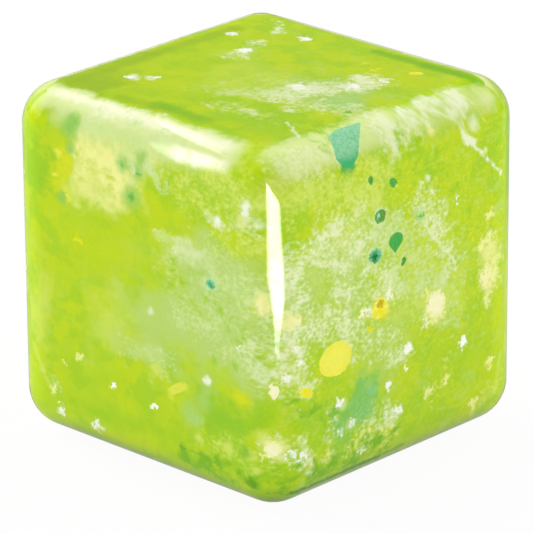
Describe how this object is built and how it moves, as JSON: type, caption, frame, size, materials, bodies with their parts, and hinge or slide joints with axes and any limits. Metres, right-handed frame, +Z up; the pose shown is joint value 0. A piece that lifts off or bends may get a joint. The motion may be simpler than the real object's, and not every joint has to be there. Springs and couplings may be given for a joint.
{
  "type": "translucent cast cube",
  "caption": "Translucent lime cast cube with rounded edges: a clear glossy shell over a cloudy core that carries teal, yellow and pale chips in its skin.",
  "frame": {"origin": "middle of the underside", "axes": "+Z up out of the top face, +X out of the face on the right of the picture, -Y out of the face on its left"},
  "size_m": [0.022, 0.022, 0.022],
  "materials": {
    "clear": "clear, polished",
    "core": "cloudy, satin under the clear shell",
    "teal": "satin",
    "green": "satin",
    "haze": "satin",
    "yellow": "satin",
    "cream": "satin",
    "white": "satin"
  },
  "bodies": {
    "root": {"clear_shell": "clear", "base_plate": "clear", "cloudy_core": "core", "teal_flake_large": "teal", "teal_sliver_1": "green", "teal_chip_1": "green", "teal_chip_2": "teal", "teal_sliver_2": "teal", "teal_drop": "green", "teal_chip_3": "teal", "teal_sliver_3": "green", "yellow_chip_amber": "yellow", "cream_chip_1": "cream", "yellow_disc": "yellow", "yellow_sliver_1": "yellow", "cream_chip_2": "cream", "cream_chip_3": "cream", "white_fleck_1": "white", "white_fleck_2": "white", "white_fleck_3": "white", "teal_smear": "haze", "cream_chip_4": "cream", "cream_chip_5": "cream", "cream_chip_6": "cream", "yellow_chip_1": "yellow", "haze_chip": "haze", "teal_chip_4": "teal", "teal_chip_5": "teal", "teal_chip_6": "teal", "teal_chip_7": "teal", "yellow_fleck_1": "yellow", "yellow_fleck_2": "yellow", "yellow_fleck_3": "yellow", "teal_chip_8": "teal", "yellow_sliver_2": "yellow", "yellow_chip_2": "yellow", "pale_teal_flake": "haze", "white_fleck_4": "white", "white_fleck_5": "white", "white_fleck_6": "white", "white_fleck_7": "white", "white_fleck_8": "white", "green_chip": "green", "white_fleck_9": "white", "white_fleck_10": "white", "white_fleck_11": "white", "white_fleck_12": "white", "white_fleck_13": "white", "white_fleck_14": "white", "yellow_fleck_4": "yellow", "teal_chip_9": "green", "teal_chip_10": "teal", "yellow_chip_3": "yellow", "white_fleck_15": "white", "teal_chip_11": "teal", "yellow_sliver_3": "yellow", "white_fleck_16": "white", "cream_chip_7": "cream"}
  },
  "joints": []
}
